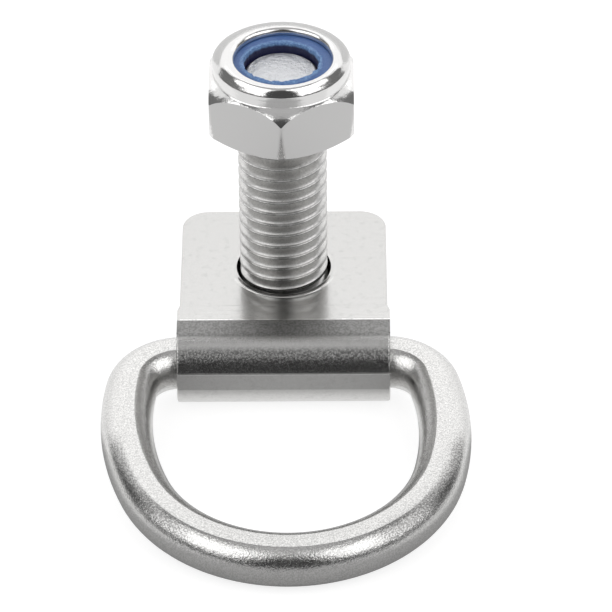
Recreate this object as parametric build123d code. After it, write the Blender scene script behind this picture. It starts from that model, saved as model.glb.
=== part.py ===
from build123d import *
import os
from math import asin, atan2, cos, degrees, radians, sin, sqrt, tan

# Bolt-on D ring tie-down. A round-wire D ring swings in a strap folded round its bar.
# A hex bolt stands up through both leaves of the strap and carries a nylon-ringed lock nut.
# Frame: origin on the bolt's axis at the strap's upper face, Z up along the bolt,
# X along the ring's bar, and the ring lying out towards -Y. Lengths in mm, angles in degrees.

# Bolt and its head
bolt_diameter = 9.87
bolt_end_height = 26.1
bolt_reach_in_nut = 6.3
bolt_end_chamfer = 1.35
head_across_flats = 15.8
head_height = 6.4
head_collar_diameter = 14.6
head_collar_height = 0.4

# Hexagon edges of head and nut
hex_chamfer_angle = 30
hex_face_share = 0.95

# Lock nut
nut_across_flats = 15.9
nut_height = 8.3
crown_radius = 4.1
crown_slope = 30
collar_diameter = 15.2
collar_base_height = 6.6
collar_wall_height = 7.7
shoulder_reach = 1.65
lip_width = 0.525
lip_edge_round = 0.5
thread_clearance = 0.05
thread_countersink = 0.55

# Nylon ring held under the lock nut's lip
nylon_wall = 1.25
nylon_height = 2.3
nylon_recess = 0.85
nylon_bore_diameter = 8.23
nylon_clearance = 0.05

# Ring
wire_diameter = 5.75
ring_length = 32.3
ring_end_radius = 16.7
ring_side_radius = 32.7
ring_corner_radius = 5.5
ring_lean = 0.66
ring_bar_inset = 5.3

# Strap
strap_thickness = 1.4
loop_end_inset = 0.45
leaf_back = 10.45
leaf_corner_radius = 3.0
leaf_gap = 0.1
bar_clearance = 0.09
head_gap = 0.1
neck_radius = 0.5
ridge_before_bar = 1.87
press_line_before_bar = 4.55
width_step = 0.25
width_step_run = 0.85
facet_fall = 4.0
front_flat_depth = 0.13
front_flat_lean = 7
loop_edge_round = 0.25
loop_wrap = 262
hole_clearance = 0.4
hole_ahead = 0.37
hole_lip_round = 0.2

# Places that follow from the sizes above
bolt_radius = bolt_diameter / 2
wire_radius = wire_diameter / 2
hole_radius = bolt_radius + hole_clearance
loop_inner_radius = wire_radius + bar_clearance
loop_outer_radius = loop_inner_radius + strap_thickness
bar_ahead = head_across_flats / 2 + head_gap + loop_outer_radius
fall = radians(facet_fall)
bar_below = (loop_outer_radius + ridge_before_bar * sin(fall)) / cos(fall)
upper_leaf_bottom = -strap_thickness
lower_leaf_top = upper_leaf_bottom - leaf_gap
lower_leaf_bottom = lower_leaf_top - strap_thickness
floor_height = lower_leaf_bottom - head_height
far_limb_drop = -bar_below - wire_radius - floor_height
ring_droop = asin(far_limb_drop / ring_length)
bar_half = ring_end_radius - ring_bar_inset
loop_width = 2 * (bar_half + loop_end_inset)
leaf_width = loop_width - 2 * width_step
nut_underside_height = bolt_end_height - bolt_reach_in_nut
nut_top = nut_underside_height + nut_height
nylon_top = nut_top - nylon_recess
nylon_seat = nylon_top - nylon_height
lip_crest_diameter = collar_diameter - 2 * shoulder_reach
lip_bore_diameter = lip_crest_diameter - 2 * lip_width
nylon_diameter = collar_diameter - 2 * nylon_wall


def on_circle(centre, radius, angle):
    """Point on a circle, angle in degrees from the first axis."""
    return (centre[0] + radius * cos(radians(angle)), centre[1] + radius * sin(radians(angle)))


def arc(centre, radius, start, end):
    """Arc about a centre between two angles in degrees."""
    middle = (start + end) / 2
    points = [on_circle(centre, radius, angle) for angle in (start, middle, end)]
    return ThreePointArc(*points)


def turned(outline):
    """Solid of revolution about Z from a closed outline of radius and height."""
    return revolve(Plane.XZ * make_face(outline), Axis.Z)


def hexagon(across_flats, bottom, height, turn):
    """Hexagonal prism from a bottom height, with one corner turned this far from X."""
    shape = RegularPolygon(across_flats / 2, 6, major_radius=False, rotation=turn)
    return Pos(0, 0, bottom) * extrude(shape, height)


def strap_section():
    """Section of the folded strap across the ring's bar, in (Y, Z)."""
    bar = (-bar_ahead, -bar_below)
    neck_height = lower_leaf_bottom - neck_radius
    neck_reach = loop_outer_radius + neck_radius
    neck_rise = neck_height + bar_below
    neck = (-bar_ahead + sqrt(neck_reach**2 - neck_rise**2), neck_height)
    top_angle = 90 + facet_fall
    neck_angle = 360 + degrees(atan2(neck_rise, neck[0] - bar[0]))
    inner_ridge_shift = strap_thickness * tan(fall / 2)
    ridge = (bar[0] + ridge_before_bar, 0)
    inner_ridge = (ridge[0] + inner_ridge_shift, upper_leaf_bottom)
    outside = arc(bar, loop_outer_radius, top_angle, neck_angle)
    inside = arc(bar, loop_inner_radius, neck_angle, top_angle)
    neck_outside = arc(neck, neck_radius, neck_angle - 180, 90)
    neck_inside = arc(neck, neck_radius + strap_thickness, 90, neck_angle - 180)
    return make_face(
        [
            Line((leaf_back, 0), ridge),
            Line(ridge, outside @ 0),
            outside,
            neck_outside,
            Line(neck_outside @ 1, (leaf_back, lower_leaf_bottom)),
            Line((leaf_back, lower_leaf_bottom), (leaf_back, lower_leaf_top)),
            Line((leaf_back, lower_leaf_top), neck_inside @ 0),
            neck_inside,
            inside,
            Line(inside @ 1, inner_ridge),
            Line(inner_ridge, (leaf_back, upper_leaf_bottom)),
            Line((leaf_back, upper_leaf_bottom), (leaf_back, 0)),
        ]
    )


def strap_plan():
    """Plan of the strap: rounded rear corners, and a small step out where the loop begins."""
    press_line = -bar_ahead + press_line_before_bar
    step_end = press_line - width_step_run
    front = -bar_ahead - loop_outer_radius
    half = [
        (0, leaf_back),
        (leaf_width / 2, leaf_back),
        (leaf_width / 2, press_line),
        (loop_width / 2, step_end),
        (loop_width / 2, front),
        (0, front),
    ]
    side = make_face(Polyline(*half, close=True))
    plan = side + mirror(side, Plane.YZ)
    rear_corners = plan.vertices().group_by(Axis.Y)[-1].sort_by(Axis.X)
    return fillet([rear_corners[0], rear_corners[-1]], leaf_corner_radius)


def loop_edge_cutter():
    """What rounds the rims of the loop's +X end, run round the bar from the crest to the neck."""
    start = radians(90 + facet_fall)
    radial = Plane((0, -bar_ahead, -bar_below), x_dir=(1, 0, 0), z_dir=(0, -sin(start), cos(start)))
    end = loop_width / 2
    square = Pos(end - loop_edge_round, loop_outer_radius - loop_edge_round) * Rectangle(
        2 * loop_edge_round, 2 * loop_edge_round, align=Align.MIN
    )
    edge = Pos(end - loop_edge_round, loop_outer_radius - loop_edge_round) * Circle(loop_edge_round)
    return revolve(radial * (square - edge), Axis((0, -bar_ahead, -bar_below), (1, 0, 0)), loop_wrap)


def folded_strap():
    """Strap folded once round the bar, with one bolt hole through both leaves."""
    section = extrude(Plane.YZ * strap_section(), loop_width / 2, both=True)
    depth = bar_below + loop_outer_radius
    strap = section & (Pos(0, 0, -depth) * extrude(strap_plan(), depth))
    cutter = loop_edge_cutter()
    strap = strap - cutter - mirror(cutter, Plane.YZ)
    block = Box(loop_width, loop_outer_radius, 2 * loop_outer_radius, align=(Align.CENTER, Align.MAX, Align.CENTER))
    block = Rot(-front_flat_lean, 0, 0) * Pos(0, front_flat_depth - loop_outer_radius, 0) * block
    press = Pos(0, -bar_ahead, -bar_below) * block
    drill = Pos(0, -hole_ahead, lower_leaf_bottom) * Cylinder(
        hole_radius, -lower_leaf_bottom, align=(Align.CENTER, Align.CENTER, Align.MIN)
    )
    strap = strap - press - drill
    rims = strap.edges().filter_by(GeomType.CIRCLE).group_by(Axis.Z)
    return fillet([rims[0][0], rims[-1][0]], hole_lip_round)


def side_arc_centre(corner, end):
    """Centre of the side arc that runs tangent from a corner arc into the end arc."""
    to_corner = ring_side_radius - ring_corner_radius
    to_end = ring_side_radius - ring_end_radius
    across = end[0] - corner[0]
    along = end[1] - corner[1]
    span = sqrt(across**2 + along**2)
    reach = (to_corner**2 - to_end**2 + span**2) / (2 * span)
    offset = sqrt(to_corner**2 - reach**2)
    return (
        corner[0] + (reach * across - offset * along) / span,
        corner[1] + (reach * along + offset * across) / span,
    )


def ring_half(side):
    """Arcs of the ring's half on the +X side (1) or the -X side (-1), from the bar to the far limb."""
    corner = (bar_half, ring_corner_radius)
    end = (side * ring_lean, ring_length - ring_end_radius)
    flank = side_arc_centre(corner, end)
    corner_angle = degrees(atan2(corner[1] - flank[1], corner[0] - flank[0]))
    end_angle = degrees(atan2(end[1] - flank[1], end[0] - flank[0]))
    runs = [
        (corner, ring_corner_radius, -90, corner_angle),
        (flank, ring_side_radius, corner_angle, end_angle),
        (end, ring_end_radius, end_angle, 90),
    ]
    return [
        arc((side * centre[0], centre[1]), radius, 90 - side * (90 - start), 90 - side * (90 - stop))
        for centre, radius, start, stop in runs
    ]


def d_ring():
    """Round wire bent to a D and welded shut, its straight bar lying in the strap's fold."""
    bar = Line((-bar_half, 0), (bar_half, 0))
    rest = Plane((0, -bar_ahead, -bar_below), x_dir=(1, 0, 0), z_dir=(0, sin(ring_droop), -cos(ring_droop)))
    path = rest * Wire([bar, *ring_half(1), *ring_half(-1)])
    profile = Plane(path @ 0, z_dir=path % 0) * Circle(wire_radius)
    return sweep(profile, path=path)


def shank(clearance):
    """Bolt's shank with its chamfered end, grown all round by a clearance."""
    radius = bolt_radius + clearance
    end = bolt_end_height + clearance
    outline = [
        (0, lower_leaf_bottom),
        (radius, lower_leaf_bottom),
        (radius, end - bolt_end_chamfer),
        (radius - bolt_end_chamfer, end),
        (0, end),
    ]
    return turned(Polyline(*outline, close=True))


def hex_bolt():
    """Bolt whose head lies under the strap, one flat facing the loop so that it can't turn."""
    hex_top = lower_leaf_bottom - head_collar_height
    face_radius = hex_face_share * head_across_flats / 2
    reach = head_across_flats
    rise = (reach - face_radius) * tan(radians(hex_chamfer_angle))
    outline = [
        (0, floor_height),
        (face_radius, floor_height),
        (reach, floor_height + rise),
        (reach, hex_top),
        (0, hex_top),
    ]
    head = hexagon(head_across_flats, floor_height, hex_top - floor_height, 0)
    head = head & turned(Polyline(*outline, close=True))
    bearing_face = Pos(0, 0, hex_top) * Cylinder(
        head_collar_diameter / 2, head_collar_height, align=(Align.CENTER, Align.CENTER, Align.MIN)
    )
    return head + bearing_face + shank(0)


def nut_hexagon():
    """Nut's hexagon, chamfered below and turned to a rounded crown under the collar."""
    base = nut_underside_height + collar_base_height
    face_radius = hex_face_share * nut_across_flats / 2
    crown_start = 90 - crown_slope
    crown_centre = (
        collar_diameter / 2 - crown_radius * cos(radians(crown_start)),
        base - crown_radius * sin(radians(crown_start)),
    )
    crown = arc(crown_centre, crown_radius, 0, crown_start)
    reach = crown_centre[0] + crown_radius
    rise = (reach - face_radius) * tan(radians(hex_chamfer_angle))
    outline = [
        Line((0, nut_underside_height), (face_radius, nut_underside_height)),
        Line((face_radius, nut_underside_height), (reach, nut_underside_height + rise)),
        Line((reach, nut_underside_height + rise), crown @ 0),
        crown,
        Line(crown @ 1, (0, base)),
        Line((0, base), (0, nut_underside_height)),
    ]
    return hexagon(nut_across_flats, nut_underside_height, collar_base_height, 30) & turned(outline)


def nut_collar():
    """Nut's collar, its wall rolled inwards to a lip over the nylon ring."""
    collar_radius = collar_diameter / 2
    crest_radius = lip_crest_diameter / 2
    bore_radius = lip_bore_diameter / 2
    wall_top = nut_underside_height + collar_wall_height
    shoulder = EllipticalCenterArc(
        (crest_radius, wall_top), collar_radius - crest_radius, nut_top - wall_top, start_angle=0, arc_size=90
    )
    edge_centre = (bore_radius + lip_edge_round, nut_top - lip_edge_round)
    edge = arc(edge_centre, lip_edge_round, 90, 180)
    outline = [
        Line((0, nylon_seat), (collar_radius, nylon_seat)),
        Line((collar_radius, nylon_seat), (collar_radius, wall_top)),
        shoulder,
        Line((crest_radius, nut_top), edge @ 0),
        edge,
        Line(edge @ 1, (0, edge_centre[1])),
        Line((0, edge_centre[1]), (0, nylon_seat)),
    ]
    return turned(outline)


def nut_bore():
    """What is cut from the nut: countersink, thread hole, nylon ring's seat and lip bore."""
    thread_radius = bolt_radius + thread_clearance
    seat_radius = nylon_diameter / 2 + nylon_clearance
    outline = [
        (0, nut_underside_height),
        (thread_radius + thread_countersink, nut_underside_height),
        (thread_radius, nut_underside_height + thread_countersink),
        (thread_radius, nylon_seat),
        (seat_radius, nylon_seat),
        (seat_radius, nylon_top),
        (lip_bore_diameter / 2, nylon_top),
        (lip_bore_diameter / 2, nut_top),
        (0, nut_top),
    ]
    return turned(Polyline(*outline, close=True))


def lock_nut():
    """Thin hexagon lock nut with its collar rolled over the nylon ring."""
    return nut_hexagon() + nut_collar() - nut_bore()


def nylon_ring():
    """Nylon ring in the nut, its bore opened from below by the bolt's end."""
    ring = Pos(0, 0, nylon_seat) * Cylinder(
        nylon_diameter / 2, nylon_height, align=(Align.CENTER, Align.CENTER, Align.MIN)
    )
    bore = Pos(0, 0, nylon_seat) * Cylinder(
        nylon_bore_diameter / 2, nylon_height, align=(Align.CENTER, Align.CENTER, Align.MIN)
    )
    return ring - bore - shank(thread_clearance)


def main():
    """Write one STEP file for each piece."""
    os.makedirs("parts", exist_ok=True)
    pieces = {
        "folded_strap": folded_strap(),
        "d_ring": d_ring(),
        "hex_bolt": hex_bolt(),
        "lock_nut": lock_nut(),
        "nylon_ring": nylon_ring(),
    }
    for name, piece in pieces.items():
        export_step(piece, f"parts/{name}.step")


main()
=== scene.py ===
"""Looks of a bolt-on D ring tie-down: folded strap, D ring, hex bolt and nylon-ringed lock nut."""

import logging
import math
from collections.abc import Callable
from dataclasses import dataclass
from enum import Enum

import bmesh
import bpy
from mathutils import Matrix, Vector, noise

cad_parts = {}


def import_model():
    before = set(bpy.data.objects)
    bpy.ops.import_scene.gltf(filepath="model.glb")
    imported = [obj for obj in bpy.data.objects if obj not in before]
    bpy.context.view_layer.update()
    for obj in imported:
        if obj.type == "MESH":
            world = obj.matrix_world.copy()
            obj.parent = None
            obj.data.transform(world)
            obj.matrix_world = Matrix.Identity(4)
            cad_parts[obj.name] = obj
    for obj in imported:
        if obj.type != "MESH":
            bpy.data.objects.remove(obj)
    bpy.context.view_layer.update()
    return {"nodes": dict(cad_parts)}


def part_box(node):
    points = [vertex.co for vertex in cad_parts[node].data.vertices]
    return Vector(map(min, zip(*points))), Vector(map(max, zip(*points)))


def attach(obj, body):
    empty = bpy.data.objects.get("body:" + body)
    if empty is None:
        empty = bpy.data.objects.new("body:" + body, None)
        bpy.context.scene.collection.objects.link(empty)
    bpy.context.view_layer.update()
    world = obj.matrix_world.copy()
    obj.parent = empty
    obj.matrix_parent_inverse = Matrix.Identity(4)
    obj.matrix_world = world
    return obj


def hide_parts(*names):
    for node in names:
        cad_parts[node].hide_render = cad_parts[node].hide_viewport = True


MM = 0.001
FULL_TURN = 2 * math.pi
LOG = logging.getLogger("tie_down")

WELD = 0.0005 * MM
CUT_GAP = 1e-8
LINE_CORE = 0.15
WHITE = (1.0, 1.0, 1.0, 1.0)

Colour = tuple[float, float, float]
Place = tuple[float, float, float]
Point = tuple[float, float]
Span = tuple[float, float]
Parts = dict | None
RingPlace = Callable[[float], Point]


class Sense(Enum):
    """Which way a fine pattern runs over a face."""

    EVEN = (1.0, 1.0, 1.0)
    ALONG_X = (0.06, 1.0, 1.0)
    ALONG_Y = (1.0, 0.06, 1.0)


@dataclass(frozen=True)
class Grain:
    """Kind of noise: grains to the millimetre, finer layers, way it runs and share that each layer keeps."""

    per_mm: float
    detail: float = 3.0
    sense: Sense = Sense.EVEN
    sharpness: float = 0.5


class Flow:
    """One value on its way through a material, which adds, multiplies and compares like a number."""

    def __init__(self, graph: "Graph", socket: bpy.types.NodeSocket) -> None:
        """Keep the material's graph and the socket that gives the value."""
        self.graph = graph
        self.socket = socket

    def __add__(self, other: "Flow | float") -> "Flow":
        """Sum of two values."""
        return self.graph.maths("ADD", self, other)

    def __radd__(self, other: float) -> "Flow":
        """Sum with a plain number on the left."""
        return self.graph.maths("ADD", other, self)

    def __sub__(self, other: "Flow | float") -> "Flow":
        """Difference of two values."""
        return self.graph.maths("SUBTRACT", self, other)

    def __rsub__(self, other: float) -> "Flow":
        """Difference with a plain number on the left."""
        return self.graph.maths("SUBTRACT", other, self)

    def __mul__(self, other: "Flow | float") -> "Flow":
        """Product of two values."""
        return self.graph.maths("MULTIPLY", self, other)

    def __rmul__(self, other: float) -> "Flow":
        """Product with a plain number on the left."""
        return self.graph.maths("MULTIPLY", other, self)

    def __truediv__(self, other: "Flow | float") -> "Flow":
        """Quotient."""
        return self.graph.maths("DIVIDE", self, other)

    def __pow__(self, power: float) -> "Flow":
        """Value raised to a power."""
        return self.graph.maths("POWER", self, power)

    def __abs__(self) -> "Flow":
        """Value without its sign."""
        return self.graph.maths("ABSOLUTE", self)

    def over(self, level: float) -> "Flow":
        """How far the value lies above a level, and 0 below it."""
        return self.graph.maths("MAXIMUM", self - level, 0.0)

    def upto(self, limit: float) -> "Flow":
        """Value, but no more than a limit."""
        return self.graph.maths("MINIMUM", self, limit)

    def swing(self, amount: float) -> "Flow":
        """Noise from 0 to 1 centred on zero and scaled to an amount."""
        return amount * (self - 0.5)


class Graph:
    """Node tree of one material or world."""

    def __init__(self, tree: bpy.types.NodeTree) -> None:
        """Take an empty tree to fill.

        Args:
            tree: The tree, whose default nodes are cleared.
        """
        self.tree = tree
        tree.nodes.clear()

    def node(self, kind: str, settings: Parts = None, values: Parts = None) -> bpy.types.Node:
        """Add a node, set it up and feed its sockets.

        Args:
            kind: The node's type name.
            settings: Attributes of the node, set first.
            values: Numbers, colours or flows for its sockets, by name or number.

        Returns:
            The new node.
        """
        made = self.tree.nodes.new(kind)
        for name, setting in (settings or {}).items():
            setattr(made, name, setting)
        for name, value in (values or {}).items():
            if isinstance(value, Flow):
                self.tree.links.new(value.socket, made.inputs[name])
            else:
                made.inputs[name].default_value = value
        return made

    def flow(self, kind: str, settings: Parts = None, values: Parts = None, out: str | int = 0) -> Flow:
        """Add a node and give one of its outputs.

        Args:
            kind: The node's type name.
            settings: Attributes of the node.
            values: What feeds its sockets.
            out: The output's name or number.

        Returns:
            The output as a flow.
        """
        return Flow(self, self.node(kind, settings, values).outputs[out])

    def maths(self, operation: str, *operands: "Flow | float") -> Flow:
        """Add a Math node.

        Args:
            operation: The node's operation.
            operands: One to three values.

        Returns:
            The result.
        """
        return self.flow("ShaderNodeMath", {"operation": operation}, dict(enumerate(operands)))

    def place_mm(self, sense: Sense = Sense.EVEN) -> Flow:
        """Place on the part in millimetres, squeezed along one axis for a pattern that runs that way.

        Args:
            sense: Which way the pattern runs.

        Returns:
            The place as a vector.
        """
        coords = self.flow("ShaderNodeTexCoord", out="Object")
        scale = [stretch / MM for stretch in sense.value]
        return self.flow("ShaderNodeMapping", values={"Vector": coords, "Scale": scale})

    def split(self, vector: Flow) -> list[Flow]:
        """The three parts of a vector."""
        parts = self.node("ShaderNodeSeparateXYZ", values={0: vector})
        return [Flow(self, part) for part in parts.outputs]

    def axes_mm(self) -> list[Flow]:
        """The three coordinates of a place in millimetres."""
        return self.split(self.place_mm())

    def ray(self, kind: str) -> Flow:
        """Whether the light's path is of a kind, named as the Light Path node names it."""
        return self.flow("ShaderNodeLightPath", out=kind)

    def grain(self, kind: Grain) -> Flow:
        """Add noise.

        Args:
            kind: How fine it is and which way it runs.

        Returns:
            The noise, from 0 to 1.
        """
        values = {
            "Vector": self.place_mm(kind.sense),
            "Scale": kind.per_mm,
            "Detail": kind.detail,
            "Roughness": kind.sharpness,
        }
        return self.flow("ShaderNodeTexNoise", {"noise_dimensions": "3D"}, values)

    def distance(self, across: Flow, along: Flow, middle: float = 0.0) -> Flow:
        """Level distance from an upright axis.

        Args:
            across: The place's X.
            along: The place's Y.
            middle: The axis's Y.

        Returns:
            The distance.
        """
        away = along - middle
        return (across * across + away * away) ** 0.5

    def step(self, value: Flow, low: float, high: float, start: float = 0.0, end: float = 1.0) -> Flow:
        """Smooth step of a value between two levels.

        Args:
            value: What is compared.
            low: Level where the step starts.
            high: Level where it ends.
            start: Result up to the low level.
            end: Result from the high level.

        Returns:
            The step.
        """
        settings = {"interpolation_type": "SMOOTHSTEP", "clamp": True}
        levels = {"Value": value, "From Min": low, "From Max": high, "To Min": start, "To Max": end}
        return self.flow("ShaderNodeMapRange", settings, levels)

    def fall(self, value: Flow, low: float, high: float) -> Flow:
        """Smooth step down, from 1 below the low level to 0 above the high one."""
        return self.step(value, low, high, 1.0, 0.0)

    def blend(self, share: "Flow | float", first: "Flow | Colour", second: "Flow | Colour") -> Flow:
        """Mix two colours.

        Args:
            share: How much of the second colour there is.
            first: First colour.
            second: Second colour.

        Returns:
            The mixed colour.
        """
        colours = [value if isinstance(value, Flow) else (*value, 1.0) for value in (first, second)]
        values = {0: share, 6: colours[0], 7: colours[1]}
        return self.flow("ShaderNodeMix", {"data_type": "RGBA"}, values, 2)

    def line(self, value: Flow, middle: float, half_width: float) -> Flow:
        """Soft line along which a value is near a level.

        Args:
            value: What is compared.
            middle: Level at the line's middle.
            half_width: How far the line reaches on either side.

        Returns:
            1 on the line and 0 beside it.
        """
        return self.fall(abs(value - middle), LINE_CORE * half_width, half_width)

    def relief(self, height: Flow) -> Flow:
        """Turn a height in millimetres into a surface direction."""
        return self.flow("ShaderNodeBump", values={"Height": height, "Strength": 1.0, "Distance": MM})


@dataclass(frozen=True)
class Finish:
    """Surface finish of one piece, made as one material."""

    name: str
    slot: str
    colour: Colour
    metallic: float = 1.0
    roughness: float = 0.25

    def material(self) -> bpy.types.Material:
        """Make the material.

        Returns:
            The material with all its patterns.
        """
        made = bpy.data.materials.new(self.name)
        made.use_nodes = True
        graph = Graph(made.node_tree)
        values = {"Metallic": self.metallic, "Roughness": self.roughness}
        shader = graph.node("ShaderNodeBsdfPrincipled", values=values)
        shader.inputs["Base Color"].default_value = (*self.colour, 1.0)
        self.patterns(graph, shader)
        graph.node("ShaderNodeOutputMaterial", values={"Surface": Flow(graph, shader.outputs[0])})
        return made

    def patterns(self, graph: Graph, shader: bpy.types.Node) -> None:
        """Add what changes over the surface; a plain finish has nothing."""

    def feed(self, graph: Graph, shader: bpy.types.Node, **flows: Flow) -> None:
        """Link flows to the shader's sockets.

        Args:
            graph: The material's graph.
            shader: Its surface shader.
            flows: The flows by socket name, with an underscore for a space.
        """
        for name, flow in flows.items():
            graph.tree.links.new(flow.socket, shader.inputs[name.replace("_", " ")])

    def tint(self, graph: Graph, share: Flow, darker: float) -> Flow:
        """Finish's colour, darkened by a share of a factor.

        Args:
            graph: The material's graph.
            share: Where it is darkened, from 0 to 1.
            darker: What the colour is multiplied by there.

        Returns:
            The colour.
        """
        low = tuple(channel * darker for channel in self.colour)
        return graph.blend(share, self.colour, low)


@dataclass(frozen=True)
class StrapFinish(Finish):
    """Rolled sheet with faint brushed lines, a pressed line, and orange peel on the outside of its fold.

    Places and heights are in millimetres. The other spans are levels of the noises.
    """

    fold_start: Span = (-10.545, -10.465)
    press_line: float = -7.85
    press_start: Span = (-7.95, -7.85)
    press_width: float = 0.13
    press_depth: float = 0.016
    ridge_light: float = -10.405
    ridge_highlight_gaps: Span = (0.38, 0.55)
    crease: Span = (-3.12, -2.98)
    crease_depth: float = -0.03
    crease_light: float = -3.15
    crease_highlight_gaps: Span = (0.4, 0.55)
    crease_highlight_share: float = 0.6
    light_width: float = 0.12
    above_crease: Span = (-3.15, -2.95)
    hole_middle: float = -0.37
    hole_rim: float = 5.72
    rim_width: float = 0.34
    rim_height: float = 0.14
    rim_front: Span = (-4.6, -2.0)
    rim_behind: float = 0.1
    top_face: Span = (-0.3, -0.1)
    brushed: Grain = Grain(9.0, sense=Sense.ALONG_Y)
    brushed_depth: float = 0.0012
    brushed_rough: float = 0.06
    peel: Grain = Grain(4.2, sharpness=0.62)
    peel_depth: float = 0.027
    peel_under: float = 0.12
    mottle: Grain = Grain(1.3, 4.0, sharpness=0.62)
    mottle_span: Span = (0.5, 0.75)
    mottle_shade: float = 0.1
    mottle_rough: float = 0.08
    scrapes: Grain = Grain(1.5, 4.0, Sense.ALONG_X, 0.6)
    scrapes_depth: float = 0.012
    specks: Grain = Grain(5.2, 1.0)
    specks_span: Span = (0.7, 0.76)
    specks_shade: float = 0.07
    pits_span: Span = (0.42, 0.58)
    pits_shade: float = 0.05
    # Painted shade over the whole leaf.
    leaf_painted_shade: float = 0.12
    fold_rough: float = 0.06
    # Painted shade under the ridge: where it reaches, how dark it is, the real pits in it, and the extra
    # roughness there.
    under_ridge_end: Span = (-13.8, -13.0)
    under_ridge_shade: float = 0.74
    under_ridge_pits: float = 0.1
    under_ridge_rough: float = 0.12
    # Painted shade over the loop's front above the crease, with real pits in it.
    front_shade_start: Span = (-15.2, -14.3)
    front_shade: float = 0.58
    front_shade_pits: float = 0.32
    front_shade_rise: Span = (-3.0, -1.6)
    front_shade_foot: float = 0.7
    darkest: float = 0.22
    # Colour of the painted highlights along the ridge and the crease.
    painted_highlight_colour: Colour = (0.9, 0.895, 0.885)

    def patterns(self, graph: Graph, shader: bpy.types.Node) -> None:
        """Brushed lines, pressed line, orange peel, crease and the hole's rounded rim in relief, with painted
        highlights along the ridge and the crease, and painted shade under the ridge, over the loop's front
        and on the leaf.

        Args:
            graph: The material's graph.
            shader: Its surface shader.
        """
        across, along, high = graph.axes_mm()
        fold = graph.fall(along, *self.fold_start)
        leaf = 1.0 - fold
        above_crease = graph.step(high, *self.above_crease)
        brushed, peel, mottle = graph.grain(self.brushed), graph.grain(self.peel), graph.grain(self.mottle)
        pits = graph.step(peel, *self.pits_span)
        scrapes = graph.grain(self.scrapes) * graph.fall(along, *self.press_start) * leaf
        height = self.brushed_depth * brushed * leaf + self.scrapes_depth * scrapes
        height = height - self.press_depth * graph.line(along, self.press_line, self.press_width)
        peeled = self.peel_under + (1.0 - self.peel_under) * above_crease
        height = height + self.peel_depth * peel * fold * peeled
        height = height + self.crease_depth * graph.step(high, *self.crease)
        rim = graph.line(graph.distance(across, along, self.hole_middle), self.hole_rim, self.rim_width)
        rim = rim * graph.step(along, *self.rim_front, 1.0, self.rim_behind)
        height = height + self.rim_height * rim * graph.step(high, *self.top_face)
        # Painted highlights: bright lines along the ridge and, on the fold, along the crease, broken into
        # gaps by noise.
        edge = graph.line(along, self.ridge_light, self.light_width) * graph.step(mottle, *self.ridge_highlight_gaps)
        crease = graph.line(high, self.crease_light, self.light_width) * graph.step(peel, *self.crease_highlight_gaps)
        edge = edge + self.crease_highlight_share * crease * fold
        # Painted shade over the fold just under the ridge, with real pits in it; the surface is also rougher
        # there.
        painted_shade_under_ridge = fold * graph.step(along, *self.under_ridge_end) * (self.under_ridge_shade + self.under_ridge_pits * pits)
        # Painted shade over the loop's front, where it reflects the dark camera side, with real pits in it
        # and weaker towards its lower edge.
        painted_shade_front = graph.fall(along, *self.front_shade_start) * above_crease
        painted_shade_front = painted_shade_front * (self.front_shade + self.front_shade_pits * pits)
        painted_shade_front = painted_shade_front * graph.step(high, *self.front_shade_rise, self.front_shade_foot, 1.0)
        # Random specks, mottle and pits, plus painted shade over the whole leaf.
        uneven_tone_and_leaf_shade = self.specks_shade * graph.step(graph.grain(self.specks), *self.specks_span)
        uneven_tone_and_leaf_shade = uneven_tone_and_leaf_shade + self.mottle_shade * graph.step(mottle, *self.mottle_span)
        uneven_tone_and_leaf_shade = uneven_tone_and_leaf_shade + self.pits_shade * fold * pits + self.leaf_painted_shade * leaf
        roughness = self.roughness + brushed.swing(self.brushed_rough) + mottle.swing(self.mottle_rough)
        roughness = roughness + self.fold_rough * fold + self.under_ridge_rough * painted_shade_under_ridge
        colour = self.tint(graph, (painted_shade_under_ridge + painted_shade_front + uneven_tone_and_leaf_shade).upto(1.0), self.darkest)
        colour = graph.blend(edge, colour, self.painted_highlight_colour)
        self.feed(graph, shader, Base_Color=colour, Roughness=roughness, Normal=graph.relief(height))


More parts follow.
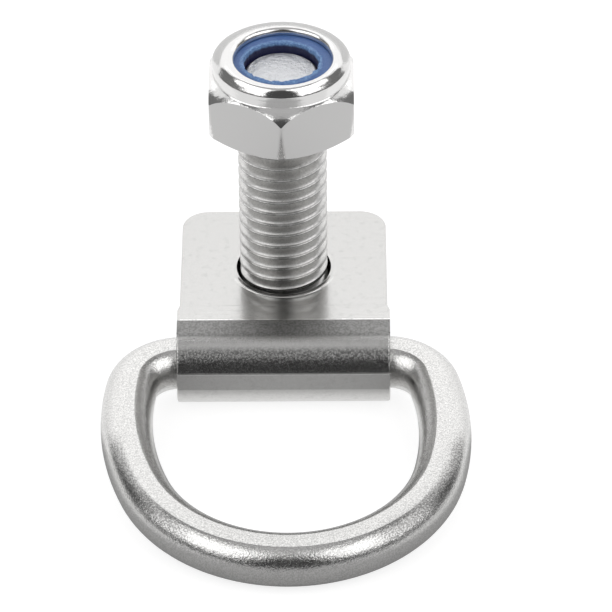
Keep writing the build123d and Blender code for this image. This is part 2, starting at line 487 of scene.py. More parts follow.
@dataclass(frozen=True)
class RingFinish(Finish):
    """Wire with a fine satin grain, its two faces flattened a little where the ring was pressed.

    A band of painted shade, with real pits in it, runs along the outside of its lower sides.
    """

    bar_along: float = -12.365
    bar_high: float = -4.506
    droop: float = 3.406
    end_middle: float = -27.965
    face_height: float = 2.72
    band_lift: float = 2.25
    band_width: float = 0.7
    band_outside: Span = (16.9, 17.4)
    band_along: Span = (-31.0, -26.0)
    band_across: Span = (8.5, 12.0)
    band_painted_shade: float = 0.55
    band_pits: float = 0.45
    fine: Grain = Grain(4.4, sharpness=0.62)
    fine_depth: float = 0.034
    fine_rough: float = 0.12
    broad: Grain = Grain(0.8)
    broad_depth: float = 0.03
    broad_rough: float = 0.1
    scuffs: Grain = Grain(3.0, 2.0)
    scuffs_span: Span = (0.66, 0.74)
    scuffs_rough: float = 0.08
    pits: Grain = Grain(6.0, 2.0, sharpness=0.6)
    pits_span: Span = (0.42, 0.6)
    pits_shade: float = 0.3
    darkest: float = 0.35

    def patterns(self, graph: Graph, shader: bpy.types.Node) -> None:
        """Flattened faces, fine grain, broad unevenness, scuffs and the band of painted shade.

        Args:
            graph: The material's graph.
            shader: Its surface shader.
        """
        across, along, high = graph.axes_mm()
        droop = math.radians(self.droop)
        lift = (high - self.bar_high) * math.cos(droop) - (along - self.bar_along) * math.sin(droop)
        fine, broad = graph.grain(self.fine), graph.grain(self.broad)
        scuffs = graph.step(graph.grain(self.scuffs), *self.scuffs_span)
        pits = graph.step(graph.grain(self.pits), *self.pits_span)
        # Painted shade along the outside of the lower sides, where they reflect dark surroundings, with real
        # pits in it.
        painted_shade_band = graph.line(lift, self.band_lift, self.band_width) * graph.fall(along, *self.band_along)
        painted_shade_band = painted_shade_band * graph.step(graph.distance(across, along, self.end_middle), *self.band_outside)
        painted_shade_band = painted_shade_band * graph.step(abs(across), *self.band_across) * (self.band_painted_shade + self.band_pits * pits)
        height = self.fine_depth * fine + self.broad_depth * broad - abs(lift).over(self.face_height)
        roughness = self.roughness + fine.swing(self.fine_rough) + broad.swing(self.broad_rough)
        roughness = roughness + self.scuffs_rough * scuffs
        colour = self.tint(graph, (self.pits_shade * pits + painted_shade_band).upto(1.0), self.darkest)
        self.feed(graph, shader, Base_Color=colour, Roughness=roughness, Normal=graph.relief(height))


@dataclass(frozen=True)
class ThreadFinish(Finish):
    """Bright rolled thread with painted shade on its crests, a painted highlight in specks along their lower
    edge and a painted shadow line below it, and a grainy cut end.

    A phase is a share of the pitch above the crest's middle.
    """

    crest_height: float = 1.43
    pitch: float = 1.5
    start_turn: float = 0.25
    crest_phase: float = 0.04
    crest_width: float = 0.17
    crest_painted_shade: float = 0.5
    glint_phase: float = -0.045
    glint_gaps: Span = (0.42, 0.56)
    glint_share: float = 0.8
    shadow_phase: float = -0.12
    edge_width: float = 0.055
    shank: Span = (-2.9, -2.8)
    end: Span = (25.2, 25.25)
    end_face: Span = (25.9, 26.0)
    end_depth: float = 0.4
    end_rough: float = 0.16
    rolled: Grain = Grain(5.0)
    rolled_depth: float = 0.014
    rolled_rough: float = 0.14
    rolled_span: Span = (0.35, 0.75)
    rolled_shade: float = 0.4
    torn: Grain = Grain(1.5, 4.0, sharpness=0.68)
    darkest: float = 0.5
    end_colour: Colour = (0.84, 0.845, 0.86)
    shadow: Colour = (0.06, 0.06, 0.06)
    # Colour of the painted highlight along the crests.
    burr: Colour = (0.95, 0.95, 0.94)

    def patterns(self, graph: Graph, shader: bpy.types.Node) -> None:
        """Rolled flanks, painted shade, highlight and shadow on the crests, and the rough face of the cut
        end.

        Args:
            graph: The material's graph.
            shader: Its surface shader.
        """
        across, along, high = graph.axes_mm()
        end = graph.step(high, *self.end)
        turn = graph.maths("ARCTAN2", along, across) / FULL_TURN + self.start_turn
        phase = graph.maths("FRACT", (high - self.crest_height) / self.pitch - turn + 0.5) - 0.5
        threaded = graph.step(high, *self.shank) * (1.0 - end)
        rolled, torn = graph.grain(self.rolled), graph.grain(self.torn)
        roughness = self.roughness + rolled.swing(self.rolled_rough) + self.end_rough * end
        height = self.end_depth * torn * end + self.rolled_depth * rolled * (1.0 - end)
        # Painted shade darkens the crests; random rolled tone is added to it.
        crest_shade_and_tone = self.crest_painted_shade * graph.line(phase, self.crest_phase, self.crest_width) * threaded
        crest_shade_and_tone = crest_shade_and_tone + self.rolled_shade * graph.step(rolled, *self.rolled_span)
        shadow = graph.line(phase, self.shadow_phase, self.edge_width) * threaded
        # Painted highlight in specks along each crest's lower edge, standing in for light caught there.
        burr = graph.line(phase, self.glint_phase, self.edge_width) * threaded
        burr = burr * graph.step(torn, *self.glint_gaps)
        colour = graph.blend(shadow, self.tint(graph, crest_shade_and_tone, self.darkest), self.shadow)
        colour = graph.blend(self.glint_share * burr, colour, self.burr)
        colour = graph.blend(end * graph.step(high, *self.end_face), colour, self.end_colour)
        self.feed(graph, shader, Base_Color=colour, Roughness=roughness, Normal=graph.relief(height))


@dataclass(frozen=True)
class NutFinish(Finish):
    """Bright nut: satin flats, polished crown and a full round shoulder on the collar."""

    flat_roughness: float = 0.3
    flat_tint: float = 0.76
    flats_top: Span = (26.2, 26.35)
    flats_outside: Span = (7.7, 7.9)
    flats_lean: Span = (0.02, 0.08)
    shoulder: Span = (6.1, 7.7)
    shoulder_foot: Span = (27.1, 27.4)
    shoulder_drop: float = 1.1
    scratches: Grain = Grain(11.0, sense=Sense.ALONG_X)
    scratches_depth: float = 0.0008
    scratches_rough: float = 0.05
    speckle: Grain = Grain(7.0, 2.0, sharpness=0.6)
    speckle_depth: float = 0.006
    waves: Grain = Grain(1.1)
    waves_depth: float = 0.03

    def patterns(self, graph: Graph, shader: bpy.types.Node) -> None:
        """Satin where the nut is flat and upright, faint scratches and waves, and the shoulder's round.

        Args:
            graph: The material's graph.
            shader: Its surface shader.
        """
        across, along, high = graph.axes_mm()
        radius = graph.distance(across, along)
        lean = abs(graph.split(graph.flow("ShaderNodeNewGeometry", out="True Normal"))[2])
        satin = graph.fall(high, *self.flats_top) * graph.step(radius, *self.flats_outside)
        satin = satin * graph.fall(lean, *self.flats_lean)
        scratches = graph.grain(self.scratches)
        polished = self.waves_depth * graph.grain(self.waves) + self.speckle_depth * graph.grain(self.speckle)
        shoulder = graph.fall(radius, *self.shoulder) * graph.step(high, *self.shoulder_foot)
        height = self.scratches_depth * scratches + polished * (1.0 - satin) + self.shoulder_drop * shoulder
        roughness = self.roughness + (self.flat_roughness - self.roughness) * satin
        roughness = roughness + scratches.swing(self.scratches_rough)
        colour = self.tint(graph, satin, self.flat_tint)
        self.feed(graph, shader, Base_Color=colour, Roughness=roughness, Normal=graph.relief(height))


@dataclass(frozen=True)
class NylonFinish(Finish):
    """Blue nylon, scuffed on top and paler where its bore is torn."""

    pale: Colour = (0.20, 0.36, 0.60)
    painted_bore_shade: Colour = (0.003, 0.005, 0.045)
    bore: Span = (26.7, 27.1)
    torn: Span = (4.43, 4.67)
    torn_share: float = 0.25
    torn_rough_share: float = 0.55
    torn_depth: float = 0.06
    ragged: Grain = Grain(1.6)
    ragged_width: float = 0.5
    scuffs: Grain = Grain(6.0, 4.0, sharpness=0.65)
    scuffs_span: Span = (0.4, 0.65)
    scuffs_share: float = 0.15
    scuffs_depth: float = 0.01
    scuffs_rough: float = 0.2

    def patterns(self, graph: Graph, shader: bpy.types.Node) -> None:
        """Paler ragged edge, painted shade down the bore, and scuffs.

        Args:
            graph: The material's graph.
            shader: Its surface shader.
        """
        across, along, high = graph.axes_mm()
        ragged = graph.distance(across, along) + graph.grain(self.ragged).swing(self.ragged_width)
        torn = graph.fall(ragged, *self.torn)
        scuffs = graph.grain(self.scuffs)
        scuffed = graph.step(scuffs, *self.scuffs_span)
        share = torn * (self.torn_share + self.torn_rough_share * scuffed) + self.scuffs_share * scuffed
        colour = graph.blend(share, self.colour, self.pale)
        # Painted shade darkens the bore below the nylon's top.
        colour = graph.blend(graph.fall(high, *self.bore), colour, self.painted_bore_shade)
        roughness = self.roughness + scuffs.swing(self.scuffs_rough)
        height = self.scuffs_depth * scuffs + self.torn_depth * torn * scuffs
        self.feed(graph, shader, Base_Color=colour, Roughness=roughness, Normal=graph.relief(height))


class Turning:
    """Body grown ring by ring about the Z axis, each ring round or drawn out to another outline."""

    def __init__(self, segments: int, first: RingPlace) -> None:
        """Start from one ring.

        Args:
            segments: Points round the ring.
            first: Gives a point's radius and height from its angle.
        """
        self.mesh = bmesh.new()
        made = bmesh.ops.create_circle(self.mesh, cap_ends=False, segments=segments, radius=MM)
        self.rim = self.mesh.edges[:]
        self.angles = {vert: math.atan2(vert.co.y, vert.co.x) for vert in made["verts"]}
        self._place(first)

    def _place(self, place: RingPlace) -> None:
        """Move the open ring's points to where they belong.

        Args:
            place: Gives a point's radius and height from its angle.
        """
        for vert in {vert for edge in self.rim for vert in edge.verts}:
            angle = self.angles[vert]
            radius, height = place(angle)
            vert.co = (radius * math.cos(angle), radius * math.sin(angle), height)

    def ring(self, place: RingPlace) -> None:
        """Grow one more ring.

        Args:
            place: Gives a point's radius and height from its angle.
        """
        grown = bmesh.ops.extrude_edge_only(self.mesh, edges=self.rim)["geom"]
        verts = {item for item in grown if isinstance(item, bmesh.types.BMVert)}
        self.angles = {vert: math.atan2(vert.co.y, vert.co.x) for vert in verts}
        edges = [item for item in grown if isinstance(item, bmesh.types.BMEdge)]
        self.rim = [edge for edge in edges if set(edge.verts) <= verts]
        self._place(place)

    def rounds(self, *places: Point) -> None:
        """Grow round rings at these radii and heights."""
        for place in places:
            self.ring(lambda angle, even=place: even)

    def close(self) -> None:
        """Fill the open ring with a face fanned from its middle."""
        face = bmesh.ops.edgeloop_fill(self.mesh, edges=self.rim)["faces"]
        bmesh.ops.poke(self.mesh, faces=face)


def sweep(centre: Point, radii: Point, start: float, end: float, steps: int) -> list[Point]:
    """Points of an elliptical arc.

    Args:
        centre: Radius and height of its centre.
        radii: Its half axes across and up.
        start: First angle in degrees.
        end: Last angle in degrees.
        steps: Number of steps.

    Returns:
        The points, each a radius and a height.
    """
    turns = [math.radians(start + (end - start) * step / steps) for step in range(steps + 1)]
    return [(centre[0] + radii[0] * math.cos(turn), centre[1] + radii[1] * math.sin(turn)) for turn in turns]


def hexagon_radius(across_flats: float, corner: float, angle: float) -> float:
    """Distance from the axis to a hexagon's side.

    Args:
        across_flats: Width of the hexagon across two flats.
        corner: Angle of one corner in degrees.
        angle: Direction in radians.

    Returns:
        The distance in that direction.
    """
    sixth = FULL_TURN / 6
    turned = (angle - math.radians(corner)) % sixth - sixth / 2
    return across_flats / 2 / math.cos(turned)


def finish_mesh(mesh: bmesh.types.BMesh, name: str, sharp_angle: float) -> bpy.types.Object:
    """Make an object of a finished body.

    Args:
        mesh: The body, which is freed.
        name: The piece's name.
        sharp_angle: Edges that turn by more degrees than this stay sharp.

    Returns:
        The object, smooth shaded and linked to the scene.
    """
    bmesh.ops.remove_doubles(mesh, verts=mesh.verts, dist=WELD)
    bmesh.ops.recalc_face_normals(mesh, faces=mesh.faces)
    for face in mesh.faces:
        face.smooth = True
    for edge in mesh.edges:
        edge.smooth = edge.calc_face_angle(0.0) < math.radians(sharp_angle)
    data = bpy.data.meshes.new(name)
    mesh.to_mesh(data)
    mesh.free()
    made = bpy.data.objects.new(name, data)
    bpy.context.scene.collection.objects.link(made)
    return made


def dress(piece: bpy.types.Object, finish: Finish) -> None:
    """Give a piece one finish.

    Args:
        piece: The object.
        finish: Its finish.
    """
    material = finish.material()
    if piece.data.materials:
        for number in range(len(piece.data.materials)):
            piece.data.materials[number] = material
    else:
        piece.data.materials.append(material)
    LOG.info("%s is dressed in %s", piece.name, finish.name)


@dataclass
class ThreadedBolt:
    """Hex bolt with a rolled thread, its head under the strap."""

    major_radius: float = 4.935 * MM
    thread_depth: float = 0.8 * MM
    pitch: float = 1.5 * MM
    crest_width: float = 0.42 * MM
    flank_run: float = 0.44 * MM
    crest_height: float = 1.43 * MM
    crest_rounding: float = 0.3
    turn_steps: int = 96
    pitch_steps: int = 16
    turn_weld: float = 0.002 * MM
    end_height: float = 26.1 * MM
    end_chamfer: float = 1.2 * MM
    head_across_flats: float = 15.8 * MM
    head_corner: float = 0.0
    face_radius: float = 7.505 * MM
    face_chamfer: float = 30.0
    washer_radius: float = 7.3 * MM
    washer_height: float = 0.4 * MM
    seat_height: float = -2.9 * MM
    seat_opening: float = 4.4415 * MM
    head_segments: int = 120
    sharp_angle: float = 32.0
    finish: Finish = ThreadFinish("rolled_bolt_steel", "bolt_steel", (0.62, 0.615, 0.605), roughness=0.3)

    def profile_radius(self, offset: float) -> float:
        """Radius of the thread at an axial distance from its crest.

        Args:
            offset: Distance from the crest's middle.

        Returns:
            The radius, rounded at crest and root as rolling leaves it.
        """
        share = min(max((abs(offset) - self.crest_width / 2) / self.flank_run, 0.0), 1.0)
        rounded = share * share * (3 - 2 * share)
        return self.major_radius - self.thread_depth * (share + self.crest_rounding * (rounded - share))

    def thread(self) -> bmesh.types.BMesh:
        """Right-hand thread from inside the head to the bolt's end.

        Returns:
            The thread as one skin, open at both ends.
        """
        mesh = bmesh.new()
        below = math.ceil((self.crest_height - self.seat_height) / self.pitch) + 2
        above = math.ceil((self.end_height - self.crest_height) / self.pitch) + 1
        start = self.crest_height - below * self.pitch
        offsets = [self.pitch * (step / self.pitch_steps - 0.5) for step in range(self.pitch_steps + 1)]
        verts = [mesh.verts.new((0.0, -self.profile_radius(offset), start + offset)) for offset in offsets]
        edges = [mesh.edges.new(pair) for pair in zip(verts, verts[1:])]
        screw = {"cent": (0, 0, 0), "axis": (0, 0, 1), "dvec": (0, 0, self.pitch / self.turn_steps)}
        bmesh.ops.spin(mesh, geom=[*verts, *edges], angle=FULL_TURN, steps=self.turn_steps, **screw)
        turn = [*mesh.verts, *mesh.edges, *mesh.faces]
        for count in range(1, below + above):
            copied = bmesh.ops.duplicate(mesh, geom=turn)["geom"]
            moved = [item for item in copied if isinstance(item, bmesh.types.BMVert)]
            bmesh.ops.translate(mesh, verts=moved, vec=(0, 0, count * self.pitch))
        bmesh.ops.remove_doubles(mesh, verts=mesh.verts, dist=self.turn_weld)
        self.cut(mesh, self.end_height, 1)
        self.cut(mesh, self.seat_height - self.washer_height, -1)
        return mesh

    def cut(self, mesh: bmesh.types.BMesh, height: float, side: int) -> None:
        """Cut the thread off at a height.

        Args:
            mesh: The thread.
            height: Where it is cut.
            side: 1 clears what is above, -1 what is below.
        """
        geom = [*mesh.verts, *mesh.edges, *mesh.faces]
        plane = {"plane_co": (0, 0, height), "plane_no": (0, 0, side)}
        bmesh.ops.bisect_plane(mesh, geom=geom, dist=CUT_GAP, clear_outer=True, **plane)

    def chamfer_end(self, mesh: bmesh.types.BMesh) -> None:
        """Draw the last turns in to the bolt's chamfered point and close it.

        Args:
            mesh: The thread.
        """
        point_radius = self.major_radius - self.end_chamfer
        for vert in mesh.verts:
            radius = vert.co.xy.length
            limit = point_radius + (self.end_height - vert.co.z)
            if radius > limit:
                vert.co.xy *= limit / radius
        top = [edge for edge in mesh.edges if edge.is_boundary and edge.verts[0].co.z > self.crest_height]
        face = bmesh.ops.edgeloop_fill(mesh, edges=top)["faces"]
        bmesh.ops.poke(mesh, faces=face)

    def side(self, angle: float) -> float:
        """Distance from the axis to the head's side in a direction."""
        return hexagon_radius(self.head_across_flats, self.head_corner, angle)

    def head(self) -> Turning:
        """Chamfered hexagon head with its washer face.

        Returns:
            The head, open where the shank leaves it.
        """
        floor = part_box("hex_bolt")[0].z
        seat = self.seat_height - self.washer_height
        slope = math.tan(math.radians(self.face_chamfer))
        turning = Turning(self.head_segments, lambda angle: (self.face_radius, floor))
        turning.close()
        turning.ring(lambda angle: (self.side(angle), floor + (self.side(angle) - self.face_radius) * slope))
        turning.ring(lambda angle: (self.side(angle), seat))
        turning.rounds((self.washer_radius, seat), (self.washer_radius, self.seat_height))
        turning.rounds((self.seat_opening, self.seat_height))
        return turning

    def build(self) -> bpy.types.Object:
        """Build the bolt in place of its plain solid.

        Returns:
            The dressed bolt.
        """
        mesh = self.thread()
        self.chamfer_end(mesh)
        shank = bpy.data.meshes.new("shank")
        mesh.to_mesh(shank)
        mesh.free()
        head = self.head()
        head.mesh.from_mesh(shank)
        bpy.data.meshes.remove(shank)
        piece = finish_mesh(head.mesh, "threaded_bolt", self.sharp_angle)
        dress(piece, self.finish)
        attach(piece, "base")
        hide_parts("hex_bolt")
        return piece


@dataclass
class LockNut:
    """Thin lock nut whose collar is rolled over the nylon ring."""

    across_flats: float = 15.9 * MM
    corner: float = 30.0
    underside: float = 19.8 * MM
    face_radius: float = 7.5525 * MM
    face_chamfer: float = 30.0
    collar_base: float = 26.4 * MM
    collar_radius: float = 7.6 * MM
    wall_top: float = 27.6 * MM
    crest_radius: float = 6.3 * MM
    crest_height: float = 28.1 * MM
    lip_radius: float = 5.52 * MM
    lip_round: float = 0.5 * MM
    lip_fall: float = 0.55 * MM
    lip_shift: float = 0.2 * MM
    lip_oval: float = 0.3 * MM
    groove_round: float = 0.08 * MM
    groove_rise: float = 0.03 * MM
    crown_round: float = 4.1 * MM
    crown_slope: float = 30.0
    nylon_top: float = 27.25 * MM
    nylon_seat: float = 24.95 * MM
    nylon_radius: float = 6.4 * MM
    bore_radius: float = 4.985 * MM
    countersink: float = 0.55 * MM
    corner_tip: float = 9.15 * MM
    corner_foot: float = 8.95 * MM
    segments: int = 360
    side_steps: int = 8
    shoulder_steps: int = 14
    lip_steps: int = 12
    sharp_angle: float = 22.0
    finish: Finish = NutFinish("bright_nut_steel", "nut_steel", (0.74, 0.735, 0.73), roughness=0.13)

    def crown_height(self, radius: float) -> float:
        """Height of the rounded crown at a distance from the axis.

        Args:
            radius: The distance.

        Returns:
            The height.
        """
        steep = math.radians(90 - self.crown_slope)
        middle = self.collar_radius - self.crown_round * math.cos(steep)
        height = self.collar_base - self.crown_round * math.sin(steep)
        return height + math.sqrt(max(self.crown_round**2 - (radius - middle) ** 2, 0.0))

    def side(self, angle: float) -> float:
        """Distance from the axis to the hexagon's side in a direction."""
        return hexagon_radius(self.across_flats, self.corner, angle)

    def lower_edge(self, angle: float) -> Point:
        """Edge where the lower chamfer meets the flats.

        Args:
            angle: Direction of the point.

        Returns:
            Its radius and height.
        """
        radius = min(self.side(angle), self.corner_foot)
        slope = math.tan(math.radians(self.face_chamfer))
        return radius, self.underside + (radius - self.face_radius) * slope

    def lip_offset(self, angle: float) -> float:
        """How far the rolled lip's opening, a little off centre and oval, is from its round."""
        return self.lip_shift * math.cos(angle) - self.lip_oval * (1 - math.sin(angle)) / 2

    def flank(self, angle: float, share: float) -> Point:
        """Point of the flats, whose corners are worn wider towards the foot.

        Args:
            angle: Direction of the point.
            share: Share of the way from the foot to the crown.

        Returns:
            Its radius and height.
        """
        foot = self.lower_edge(angle)[1]
        top = self.crown(angle, 0.0)[1]
        worn = self.corner_tip - (self.corner_tip - self.corner_foot) * (1 - share) ** 2
        return min(self.side(angle), worn), foot + (top - foot) * share

    def crown(self, angle: float, inward: float) -> Point:
        """Point of the crown.

        Args:
            angle: Direction of the point.
            inward: Share of the way from the flats' upper edge to the collar's foot.

        Returns:
            Its radius and height.
        """
        outer = min(self.side(angle), self.corner_tip)
        radius = outer + (self.collar_radius + self.groove_round - outer) * inward
        return radius, self.crown_height(radius)

    def body(self) -> Turning:
        """Grow the nut from its bore round to its bore again.

        Returns:
            The closed body.
        """
        bore_foot = self.underside + self.countersink
        turning = Turning(self.segments, lambda angle: (self.bore_radius, bore_foot))
        turning.rounds((self.bore_radius + self.countersink, self.underside))
        turning.rounds((self.face_radius, self.underside))
        shares = [step / self.side_steps for step in range(self.side_steps + 1)]
        for share in shares[:-1]:
            turning.ring(lambda angle, share=share: self.flank(angle, share))
        for share in shares:
            turning.ring(lambda angle, share=share: self.crown(angle, share))
        turning.rounds((self.collar_radius, self.collar_base + self.groove_rise))
        shoulder = (self.collar_radius - self.crest_radius, self.crest_height - self.wall_top)
        turning.rounds(*sweep((self.crest_radius, self.wall_top), shoulder, 0, 90, self.shoulder_steps))
        edge = (self.lip_radius + self.lip_round, self.crest_height - self.lip_fall)
        lip = sweep(edge, (self.lip_round, self.lip_fall), 90, 180, self.lip_steps)
        for radius, height in [*lip, (self.lip_radius, self.nylon_top)]:
            turning.ring(lambda angle, where=radius, top=height: (where + self.lip_offset(angle), top))
        turning.rounds((self.nylon_radius, self.nylon_top), (self.nylon_radius, self.nylon_seat))
        turning.rounds((self.bore_radius, self.nylon_seat), (self.bore_radius, bore_foot))
        return turning

    def build(self) -> bpy.types.Object:
        """Build the nut in place of its plain solid.

        Returns:
            The dressed nut.
        """
        piece = finish_mesh(self.body().mesh, "bright_lock_nut", self.sharp_angle)
        weighted = piece.modifiers.new("even_flats", "WEIGHTED_NORMAL")
        weighted.keep_sharp = True
        dress(piece, self.finish)
        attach(piece, "nut")
        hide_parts("lock_nut")
        return piece


@dataclass
class NylonRing:
    """Nylon ring in the nut, torn at its bore by the thread.

    The torn edge holds a radius, a drop in height and a share of the tearing for each ring towards the bore.
    """

    outer_radius: float = 6.35 * MM
    bore_radius: float = 4.12 * MM
    top: float = 27.25 * MM
    seat: float = 24.95 * MM
    bolt_end: float = 26.1 * MM
    bolt_radius: float = 4.985 * MM
    point_radius: float = 3.735 * MM
    end_gap: float = 0.05 * MM
    even_edge: tuple[float, ...] = (5.2 * MM, 4.9 * MM)
    torn_edge: tuple[Place, ...] = (
        (4.6 * MM, 0.0, 0.35),
        (4.36 * MM, 0.01 * MM, 0.8),
        (4.22 * MM, 0.06 * MM, 1.0),
        (4.12 * MM, 0.3 * MM, 0.7),
    )
    tear: float = 0.2 * MM
    coarse: float = 2.3
    fine: float = 6.1
    fine_share: float = 0.6
    burr: float = 0.12 * MM
    burr_coarse: float = 1.7
    burr_shift: float = 5.0
    rise: float = 0.28 * MM
    noise_circle: Point = (3.0, 0.7)
    segments: int = 180
    sharp_angle: float = 35.0
    finish: Finish = NylonFinish("scuffed_blue_nylon", "blue_nylon", (0.05, 0.12, 0.33), 0.0, 0.4)

    def rag(self, angle: float, scale: float, shift: float = 0.0) -> float:
        """Unevenness in a direction.

        Args:
            angle: The direction.
            scale: How fast it changes.
            shift: Moves to another part of the noise.

        Returns:
            The noise, about -1 to 1.
        """
        radius, height = self.noise_circle
        where = Vector((radius * math.cos(angle), radius * math.sin(angle), height))
        return noise.noise(where * scale + Vector((shift, 0.0, 0.0)))

    def torn(self, angle: float, radius: float, height: float, share: float) -> Point:
        """Radius and height near the torn edge.

        Args:
            angle: Direction of the point.
            radius: Its even radius.
            height: Its even height.
            share: How much of the tearing reaches it.

        Returns:
            The uneven radius and height.
        """
        ragged = self.rag(angle, self.coarse) + self.fine_share * self.rag(angle, self.fine)
        lift = max(self.rag(angle, self.burr_coarse, self.burr_shift), 0.0)
        raised = self.rise * (1 - math.sin(angle)) - self.burr * lift
        return radius + self.tear * ragged * share, height + raised * share

    def over_bolt(self, radius: float) -> Point:
        """Point just over the bolt's chamfered end."""
        return radius, self.bolt_end - (radius - self.point_radius) + self.end_gap

    def build(self) -> bpy.types.Object:
        """Build the ring in place of its plain solid.

        Returns:
            The dressed ring.
        """
        turning = Turning(self.segments, lambda angle: (self.outer_radius, self.seat))
        turning.rounds(*((radius, self.top) for radius in (self.outer_radius, *self.even_edge)))
        for edge in self.torn_edge:
            turning.ring(lambda angle, edge=edge: self.torn(angle, edge[0], self.top - edge[1], edge[2]))
        turning.rounds(self.over_bolt(self.bore_radius), self.over_bolt(self.bolt_radius))
        turning.rounds((self.bolt_radius, self.seat), (self.outer_radius, self.seat))
        piece = finish_mesh(turning.mesh, "torn_nylon_ring", self.sharp_angle)
        dress(piece, self.finish)
        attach(piece, "nut_carrier")
        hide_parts("nylon_ring")
        return piece


@dataclass
class StrapAndRing:
    """Folded strap and D ring, which keep their solids and take a finish."""

    strap: Finish = StrapFinish("rolled_strap_steel", "strap_steel", (0.66, 0.655, 0.645), roughness=0.18)
    ring: Finish = RingFinish("satin_ring_steel", "ring_steel", (0.69, 0.685, 0.675), roughness=0.18)

    def build(self, nodes: dict[str, bpy.types.Object]) -> None:
        """Dress the two solids.

        Args:
            nodes: The frame's solids by name.
        """
        dress(nodes["folded_strap"], self.strap)
        dress(nodes["d_ring"], self.ring)


@dataclass(frozen=True)
class Softbox:
    """One lit panel of the studio, seen only in reflections."""

    name: str
    place: Place
    width: float
    height: float
    level: float

    def build(self, aim: Vector) -> bpy.types.Object:
        """Hang the panel, facing the part.

        Args:
            aim: What it faces.

        Returns:
            The light.
        """
        lamp = bpy.data.lights.new(self.name, "AREA")
        lamp.shape = "RECTANGLE"
        lamp.size = self.width
        lamp.size_y = self.height
        lamp.energy = self.level * math.pi * self.width * self.height
        made = bpy.data.objects.new(self.name, lamp)
        made.location = self.place
        made.rotation_mode = "QUATERNION"
        made.rotation_quaternion = (aim - Vector(self.place)).to_track_quat("-Z", "Y")
        made.visible_camera = False
        bpy.context.scene.collection.objects.link(made)
        return made


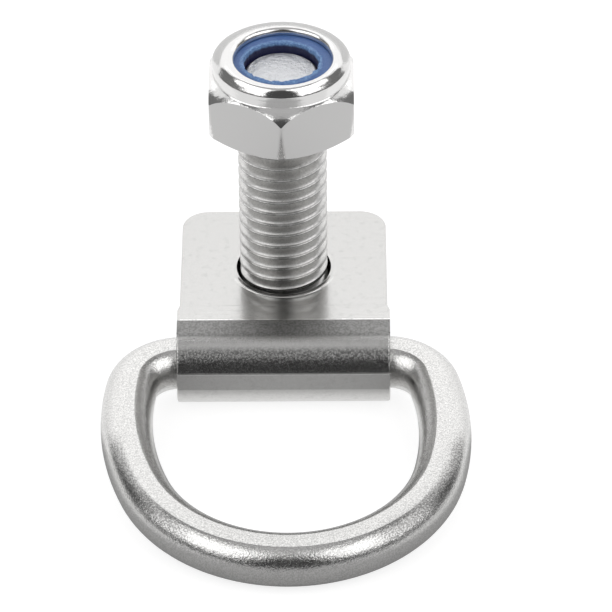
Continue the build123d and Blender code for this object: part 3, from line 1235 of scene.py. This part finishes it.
@dataclass
class Studio:
    """White table, softboxes and camera."""

    table_span: float = 6.0
    table_gap: float = 0.02 * MM
    table_sharp: float = 30.0
    table_glow: float = 0.8
    table_mirrored: float = 0.14
    table_mirrored_more: float = 0.6
    table_behind: Span = (-22.0, -15.0)
    table_beside: Span = (24.0, 38.0)
    table_beside_share: float = 0.75
    table_colour: Colour = (0.35, 0.35, 0.35)
    room_toward: Span = (-0.9, -0.1)
    room_levels: Span = (0.07, 0.19)
    camera_place: Place = (5.7172 * MM, -442.2426 * MM, 320.8895 * MM)
    camera_forward: Place = (-0.00593783, 0.80427075, -0.59423337)
    camera_right: Place = (0.99996592, 0.00136719, -0.00814164)
    camera_up: Place = (0.00573565, 0.59426146, 0.80425146)
    camera_lens: float = 284.54
    camera_clip: Span = (0.01, 20.0)
    sensor_width: float = 36.0
    panels: tuple[Softbox, ...] = (
        Softbox("left_softbox", (-0.453, -0.27, 0.46), 0.76, 0.54, 1.7),
        Softbox("right_softbox", (0.453, -0.27, 0.46), 0.76, 0.54, 1.7),
        Softbox("top_panel", (0.0, -0.14, 0.685), 0.5, 0.64, 0.36),
        Softbox("back_panel", (0.0, 0.7, 0.285), 2.2, 0.6, 1.05),
        Softbox("rear_top_panel", (0.0, 0.46, 0.655), 1.0, 0.39, 1.05),
        Softbox("left_rear_panel", (-0.54, 0.36, 0.5), 0.34, 0.32, 0.8),
        Softbox("right_rear_panel", (0.54, 0.36, 0.5), 0.34, 0.32, 0.8),
    )

    def table(self, floor: float) -> None:
        """White table with the part's faint shadow, mirrored brighter behind and beside the part.

        Args:
            floor: Height that the part stands on.
        """
        mesh = bmesh.new()
        bmesh.ops.create_grid(mesh, x_segments=1, y_segments=1, size=self.table_span / 2)
        bmesh.ops.translate(mesh, verts=mesh.verts, vec=(0, 0, floor - self.table_gap))
        piece = finish_mesh(mesh, "table", self.table_sharp)
        material = bpy.data.materials.new("white_table")
        material.use_nodes = True
        graph = Graph(material.node_tree)
        mirrored = graph.maths("MAXIMUM", graph.ray("Is Glossy Ray"), graph.ray("Is Transmission Ray"))
        across, along, _ = graph.axes_mm()
        behind = graph.step(along, *self.table_behind)
        beside = graph.step(abs(across), *self.table_beside, 0.0, self.table_beside_share)
        lit = self.table_mirrored + self.table_mirrored_more * graph.maths("MAXIMUM", behind, beside)
        matt = graph.flow("ShaderNodeBsdfDiffuse", values={"Color": (*self.table_colour, 1.0)})
        strength = self.table_glow * graph.ray("Is Camera Ray") + mirrored * lit
        glow = graph.flow("ShaderNodeEmission", values={"Color": WHITE, "Strength": strength})
        both = graph.flow("ShaderNodeAddShader", values={0: matt, 1: glow})
        graph.node("ShaderNodeOutputMaterial", values={"Surface": both})
        piece.data.materials.append(material)

    def world(self) -> None:
        """White room to the eye, dim towards the camera and brighter behind in reflections."""
        world = bpy.data.worlds.new("studio_room")
        world.use_nodes = True
        bpy.context.scene.world = world
        graph = Graph(world.node_tree)
        toward = graph.split(graph.flow("ShaderNodeTexCoord", out="Generated"))[1]
        dim = graph.step(toward, *self.room_toward, *self.room_levels)
        camera = graph.ray("Is Camera Ray")
        strength = camera + (1.0 - camera) * dim
        back = graph.flow("ShaderNodeBackground", values={"Color": WHITE, "Strength": strength})
        graph.node("ShaderNodeOutputWorld", values={"Surface": back})

    def camera(self) -> None:
        """Camera at the photograph's place."""
        lens = bpy.data.cameras.new("camera")
        lens.lens = self.camera_lens
        lens.sensor_width = self.sensor_width
        lens.clip_start, lens.clip_end = self.camera_clip
        made = bpy.data.objects.new("camera", lens)
        columns = (self.camera_right, self.camera_up, [-part for part in self.camera_forward])
        turn = Matrix(columns).transposed()
        made.matrix_world = Matrix.Translation(self.camera_place) @ turn.to_4x4()
        bpy.context.scene.collection.objects.link(made)
        bpy.context.scene.camera = made

    def build(self) -> None:
        """Set up the table, the lights and the camera."""
        floor = min(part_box(node)[0].z for node in ("hex_bolt", "d_ring"))
        self.table(floor)
        self.world()
        for panel in self.panels:
            panel.build(Vector())
        self.camera()
        bpy.context.scene.view_settings.view_transform = "Standard"


def main() -> None:
    """Dress the frame and light it."""
    logging.basicConfig(level=logging.INFO)
    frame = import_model()
    StrapAndRing().build(frame["nodes"])
    for piece in (ThreadedBolt(), LockNut(), NylonRing()):
        made = piece.build()
        LOG.info("%s has %d faces", made.name, len(made.data.polygons))
    Studio().build()


if __name__ == "__main__":
    main()
